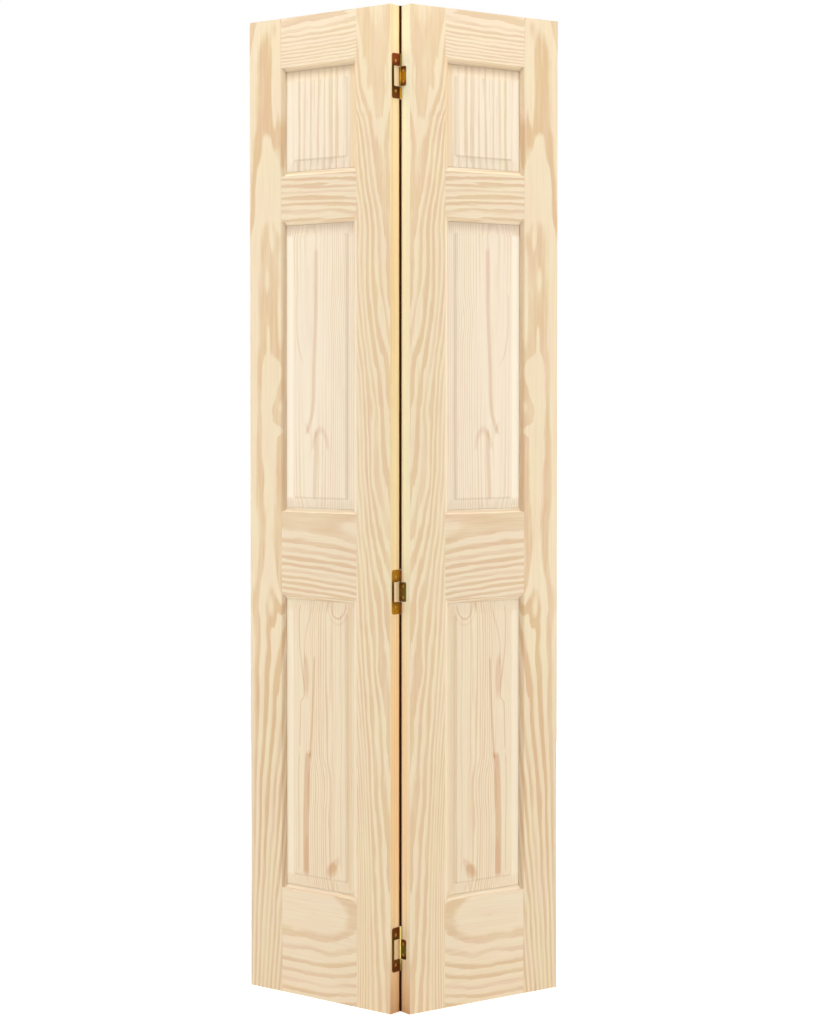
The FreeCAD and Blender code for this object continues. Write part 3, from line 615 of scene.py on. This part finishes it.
def toned_box(net, place, colour, tone, left, right, top, foot, reach, strength):
    """A soft tone over one box of the face and a little way round it: painted shade, painted light,
    or a plain tint of the wood, as the table gives.
    """
    x, _, z = net.parts(place)[:3]
    sides = []
    for value, low, high in ((x, left, right), (z, top, foot)):
        away = net.math("ABSOLUTE", net.math("SUBTRACT", value, (low + high) / 2))
        sides.append(net.math("SUBTRACT", away, (high - low) / 2))
    off = net.math("MAXIMUM", *sides)
    return net.blend(net.remap(off, reach, 0.0, 0.0, strength, smooth=True), colour, tone)


def pine_material(leaf, role, figures, pine, board):
    """Planed pine for one piece of one leaf."""
    material, net, shader = new_material(f"pine_{leaf}_{role}")
    place = leaf_place(net, leaf)
    rings, calm, resin, fibre = use_group(net, figures[role], {"Place": place})[:4]
    early, late = TINTS[role]
    colour, roughness, height = use_group(net, pine, {
        "Fibre": fibre, "Rings": rings, "Calm": calm, "Resin": resin,
        "Late share": FIGURES[role]["late"], "Early": linear(early), "Late": linear(late),
        "Board": board,
    })[:3]
    if role == "hinge_stile":
        colour = meeting_edge(net, place, colour, leaf)
    # Painted shade and painted light along the mouldings and round the fields, with a few plain
    # tints.
    for tone, *box in PAINTED_SHADE_LIGHT_AND_TINTS.get(role, []):
        colour = toned_box(net, place, colour, linear(tone), *box)
    bump = net.add("Bump", {"Height": height, **WOOD_BUMP})
    net.fill(shader.inputs["Base Color"], colour)
    net.fill(shader.inputs["Roughness"], roughness)
    net.fill(shader.inputs["Normal"], bump.outputs[0])
    shader.inputs["Specular IOR Level"].default_value = WOOD_SPECULAR
    return material


def dowel_material(leaf):
    """Turned birch dowels, grain along the rail."""
    material, net, shader = new_material(f"dowel_{leaf}")
    place = leaf_place(net, leaf)
    fibres = net.noise(place, DOWEL_REACH, detail=3.0)
    share = net.math("MULTIPLY_ADD", fibres, 0.5, 0.5, clamp=True)
    rough = net.math("MULTIPLY_ADD", fibres, 0.08, DOWEL_ROUGHNESS)
    net.fill(shader.inputs["Base Color"], net.blend(share, linear(DOWEL_EARLY), linear(DOWEL_LATE)))
    net.fill(shader.inputs["Roughness"], rough)
    return material


# -------------------------------------------------------------------------------- the brass

BRASS_RED = (150, 76, 40)
BRASS_BROWN = (120, 70, 26)
BRASS_DARK = (86, 56, 20)
BRASS_OLIVE = (128, 106, 50)
BRASS_GREEN = (120, 118, 52)
BRASS_GOLD = (190, 142, 40)
# The palest brass is a painted highlight on the knuckles.
BRASS_HIGHLIGHT = (232, 214, 132)
SCREW_BRASS = (214, 170, 92)

# Tones over each hinge, the brass's colour with painted reflection and painted highlight worked in:
# plate (or tab) and knuckle, each at top, middle, foot.
HINGE_REFLECTION_TONES = {
    "top_hinge_frame_leaf": (
        (BRASS_RED, BRASS_DARK, BRASS_BROWN), (BRASS_OLIVE, BRASS_OLIVE, BRASS_GOLD),
    ),
    "top_hinge_tab_leaf": (
        (BRASS_BROWN, BRASS_GOLD, BRASS_BROWN), (BRASS_OLIVE, BRASS_GOLD, BRASS_OLIVE),
    ),
    "middle_hinge_frame_leaf": (
        (BRASS_GOLD, BRASS_BROWN, BRASS_GOLD), (BRASS_BROWN, BRASS_DARK, BRASS_BROWN),
    ),
    "middle_hinge_tab_leaf": (
        (BRASS_OLIVE, BRASS_GREEN, BRASS_OLIVE), (BRASS_DARK, BRASS_BROWN, BRASS_DARK),
    ),
    "bottom_hinge_frame_leaf": (
        (BRASS_BROWN, BRASS_OLIVE, BRASS_BROWN), (BRASS_HIGHLIGHT, BRASS_HIGHLIGHT, BRASS_OLIVE),
    ),
    "bottom_hinge_tab_leaf": (
        (BRASS_BROWN, BRASS_GREEN, BRASS_DARK), (BRASS_HIGHLIGHT, BRASS_HIGHLIGHT, BRASS_HIGHLIGHT),
    ),
}
# The reach of the lacquer's clouds and of the brushing under it, in millimetres.
LACQUER_REACH = (4.0, 4.0, 7.0)
BRUSHED_REACH = (0.25, 0.25, 8.0)
BRASS_ROUGHNESS = 0.30
BRASS_BUMP = {"Strength": 0.12, "Distance": 0.00005}
# How far apart the hinges' clouds are taken from, so that no two are alike.
HINGE_SEED_STEP = 17.0
PIN_SEED, SCREW_SEED = 3.0, 7.0


def toned(net, up, tones):
    """Three tones run together, from the top (up = 1) through the middle to the foot (up = -1)."""
    top, middle, foot = (linear(tone) for tone in tones)
    lower = net.blend(net.remap(up, -0.75, -0.25, 0.0, 1.0, smooth=True), foot, middle)
    return net.blend(net.remap(up, 0.25, 0.75, 0.0, 1.0, smooth=True), lower, top)


def brass_shader(name, seed):
    """A lacquered brass material, its net, its shader and its place in millimetres."""
    material, net, shader = new_material(name)
    place = net.vector("DIVIDE", net.add("TexCoord").outputs["Object"], (MM, MM, MM))
    shifted = net.vector("ADD", place, (seed, seed, seed))
    clouds = net.noise(shifted, LACQUER_REACH, detail=4.0, roughness=0.6)
    brushed = net.noise(shifted, BRUSHED_REACH)
    bump = net.add("Bump", {"Height": brushed, **BRASS_BUMP})
    net.fill(shader.inputs["Roughness"], net.math("MULTIPLY_ADD", clouds, 0.10, BRASS_ROUGHNESS))
    net.fill(shader.inputs["Normal"], bump.outputs[0])
    shader.inputs["Metallic"].default_value = 1.0
    return material, net, shader, place, clouds


def hinge_material(node, seed):
    """Stamped brass plate and its knuckle about the pin, in the brass's colour with painted
    reflection running from top to foot.
    """
    material, net, shader, place, clouds = brass_shader(f"{node}_brass", seed)
    plate = bpy.data.objects[node]
    heights = [(plate.matrix_world @ Vector(corner)).z / MM for corner in plate.bound_box]
    x, y, z = net.parts(place)[:3]
    up = net.remap(z, min(heights), max(heights), -1.0, 1.0)
    up = net.math("MULTIPLY_ADD", clouds, 0.25, up)
    plate_tones, knuckle_tones = HINGE_REFLECTION_TONES[node]
    off = net.vector("DISTANCE", net.joined(x, y, 0.0), (PIN.x / MM, PIN.y / MM, 0.0))
    knuckle = net.remap(off, KNUCKLE_REACH + 0.5, KNUCKLE_REACH, 0.0, 1.0)
    colour = net.blend(knuckle, toned(net, up, plate_tones), toned(net, up, knuckle_tones))
    dull = net.remap(clouds, -0.6, 0.6, 0.72, 1.12)
    net.fill(shader.inputs["Base Color"], net.scaled(colour, dull))
    return material


def plain_brass(name, colour, seed):
    """Brass of one tone."""
    material, net, shader, _, clouds = brass_shader(name, seed)
    dull = net.remap(clouds, -0.6, 0.6, 0.75, 1.05)
    net.fill(shader.inputs["Base Color"], net.scaled(linear(colour)[:3], dull))
    return material


def dress(node, material):
    """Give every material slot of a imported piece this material."""
    for slot in bpy.data.objects[node].material_slots:
        slot.material = material


def dress_wood():
    """Every wooden piece in its own board."""
    pine = pine_group()
    figures = {role: figure_group(role) for role in FIGURES}
    for leaf in FLIP:
        for number, role in enumerate(FIGURES):
            board = BOARD_STEP * number + (RIGHT_LEAF_BOARDS if leaf == "right" else 0.0)
            dress(f"{leaf}_{role}", pine_material(leaf, role, figures, pine, board))
        dress(f"{leaf}_leaf_dowels", dowel_material(leaf))


def dress_hinges():
    """Every hinge's plate, tab, pin and screws."""
    pin = plain_brass("pin_brass", BRASS_OLIVE, PIN_SEED)
    screws = plain_brass("screw_brass", SCREW_BRASS, SCREW_SEED)
    for number, node in enumerate(HINGE_REFLECTION_TONES):
        dress(node, hinge_material(node, HINGE_SEED_STEP * number))
    for hinge in HINGES:
        dress(f"{hinge}_pin", pin)
        dress(f"{hinge}_frame_screws", screws)
        dress(f"{hinge}_tab_screws", screws)


# ------------------------------------------------------------------------------- the studio

CAMERA_PLACE = Vector((0.1410, -4.5970, 1.2240))
CAMERA_TURN = 1.804  # degrees to the left
CAMERA_DOWN = 1.484  # degrees below level
CAMERA_LENS = 79.45
CAMERA_SHIFT = (0.0092, -0.0516)
# A dark card standing close behind the fold as painted shade, so that the gap between the
# leaves reads dark; in millimetres: its clearance from the hinges, and how far it stands in front
# of the pins.
CARD_WIDTH = 5.4
CARD_THICKNESS = 0.8
CARD_CLEARANCE = 0.4
CARD_SETBACK = 0.6
GAP_SHADE_COLOUR = (60, 36, 22)
# The floor's half width, its grey, how far it glows near the door, and between what
# distances it fades into the white beyond.
FLOOR_HALF = 3.5
FLOOR_GREY = 0.80
FLOOR_GLOW = 0.5
FLOOR_FADE = (0.7, 1.9)
DOME_GREY = 0.06
WHITE = (1.0, 1.0, 1.0, 1.0)
# Soft lamps: place, aim, width and height, power.
LAMPS = {
    "left_lamp": ((-3.2, 0.8, 1.5), (-0.1, 0.0, 0.9), (0.9, 2.4), 46.0),
    "right_lamp": ((3.2, 0.8, 1.5), (0.1, 0.0, 0.9), (0.9, 2.4), 46.0),
    "left_front_lamp": ((-2.8, -2.4, 1.5), (0.0, 0.0, 0.7), (1.2, 1.0), 40.0),
    "right_front_lamp": ((2.8, -2.4, 1.5), (0.0, 0.0, 0.7), (1.2, 1.0), 40.0),
    "front_lamp": ((0.1, -4.4, 1.7), (0.0, 0.0, 0.9), (0.8, 0.8), 24.0),
    "top_lamp": ((0.0, -0.5, 3.3), (0.0, -0.1, 1.2), (0.8, 0.5), 30.0),
    "rear_lamp": ((0.0, 2.8, 2.2), (0.0, 0.0, 1.0), (2.4, 1.8), 50.0),
}


def add_camera():
    data = bpy.data.cameras.new("camera")
    data.lens = CAMERA_LENS
    data.sensor_width = 36.0
    data.sensor_fit = "AUTO"
    data.shift_x, data.shift_y = CAMERA_SHIFT
    data.clip_start, data.clip_end = 0.05, 50.0
    camera = bpy.data.objects.new("camera", data)
    camera.location = CAMERA_PLACE
    camera.rotation_euler = (math.radians(90.0 - CAMERA_DOWN), 0.0, math.radians(CAMERA_TURN))
    bpy.context.collection.objects.link(camera)
    bpy.context.scene.camera = camera


def add_lamp(name, place, aim, size, power):
    """A soft rectangular lamp turned to its aim."""
    data = bpy.data.lights.new(name, "AREA")
    data.shape = "RECTANGLE"
    data.size, data.size_y = size
    data.energy = power
    lamp = bpy.data.objects.new(name, data)
    lamp.location = place
    lamp.rotation_euler = (Vector(aim) - Vector(place)).to_track_quat("-Z", "Y").to_euler()
    bpy.context.collection.objects.link(lamp)


def add_lamps():
    for name, (place, aim, size, power) in LAMPS.items():
        add_lamp(name, place, aim, size, power)


def add_world():
    """An even grey dome that lights softly, and looks white to the camera."""
    world = bpy.data.worlds.new("studio")
    bpy.context.scene.world = world
    world.use_nodes = True
    net = Net(world.node_tree)
    background = world.node_tree.nodes["Background"]
    path = net.add("LightPath").outputs
    seen = net.math("MAXIMUM", path["Is Camera Ray"], path["Is Glossy Ray"])
    seen = net.math("MAXIMUM", seen, path["Is Transmission Ray"])
    shade = net.blend(seen, (DOME_GREY, DOME_GREY, DOME_GREY, 1.0), WHITE)
    net.fill(background.inputs["Color"], shade)


def gap_shade_card_material():
    """Matt dark card, a little uneven: painted shade seen through the gap between the leaves."""
    material, net, shader = new_material("card")
    fibres = net.noise(net.add("TexCoord").outputs["Object"], (2.0 * MM, 2.0 * MM, 9.0 * MM))
    share = net.math("MULTIPLY_ADD", fibres, 0.5, 0.5, clamp=True)
    darker, paler = (linear([part * times for part in GAP_SHADE_COLOUR]) for times in (0.8, 1.2))
    net.fill(shader.inputs["Base Color"], net.blend(share, darker, paler))
    shader.inputs["Roughness"].default_value = 0.95
    shader.inputs["Specular IOR Level"].default_value = 0.0
    return material


def add_gap_shade_card():
    """Strips of dark card behind the fold, between the hinges, as painted shade in the gap; they
    clear every pose.
    """
    material = gap_shade_card_material()
    ends = [0.0]
    for middle in HINGE_DROPS:
        ends += [middle - HINGE_HEIGHT / 2, middle + HINGE_HEIGHT / 2]
    ends.append(LEAF_HEIGHT)
    half = CARD_WIDTH / 2 * MM
    near = PIN.y - CARD_SETBACK * MM
    far = near + CARD_THICKNESS * MM
    flat = [(-half, near), (half, near), (half, far), (-half, far)]
    sides = [(side, (side + 1) % 4, (side + 1) % 4 + 4, side + 4) for side in range(4)]
    for number, (top, foot) in enumerate(zip(ends[::2], ends[1::2]), start=1):
        high = (LEAF_HEIGHT - top - CARD_CLEARANCE) * MM
        low = (LEAF_HEIGHT - foot + CARD_CLEARANCE) * MM
        corners = [(x, y, z) for z in (low, high) for x, y in flat]
        mesh = bpy.data.meshes.new("gap_shade_card")
        mesh.from_pydata(corners, [], [(3, 2, 1, 0), (4, 5, 6, 7)] + sides)
        mesh.materials.append(material)
        card = bpy.data.objects.new(f"gap_card_{number}", mesh)
        bpy.context.collection.objects.link(card)


def add_floor():
    """A plain pale floor."""
    mesh = bpy.data.meshes.new("floor")
    quarters = ((-1, -1), (1, -1), (1, 1), (-1, 1))
    corners = [(x * FLOOR_HALF, y * FLOOR_HALF, 0.0) for x, y in quarters]
    mesh.from_pydata(corners, [], [(0, 1, 2, 3)])
    floor = bpy.data.objects.new("floor", mesh)
    bpy.context.collection.objects.link(floor)
    material, net, shader = new_material("floor_paper")
    shader.inputs["Base Color"].default_value = (FLOOR_GREY, FLOOR_GREY, FLOOR_GREY, 1.0)
    shader.inputs["Roughness"].default_value = 0.9
    shader.inputs["Emission Color"].default_value = WHITE
    path = net.add("LightPath").outputs
    seen = net.math("MAXIMUM", path["Is Camera Ray"], path["Is Glossy Ray"])
    # The floor keeps the door's shadow near it and fades into the white backdrop beyond.
    away = net.vector("LENGTH", net.add("TexCoord").outputs["Object"])
    glow = net.math("MULTIPLY", seen, net.remap(away, *FLOOR_FADE, FLOOR_GLOW, 1.0, smooth=True))
    net.fill(shader.inputs["Emission Strength"], glow)
    mesh.materials.append(material)


dress_wood()
dress_hinges()
add_camera()
add_lamps()
add_world()
add_gap_shade_card()
add_floor()

scene = bpy.context.scene
scene.view_settings.view_transform = "Standard"
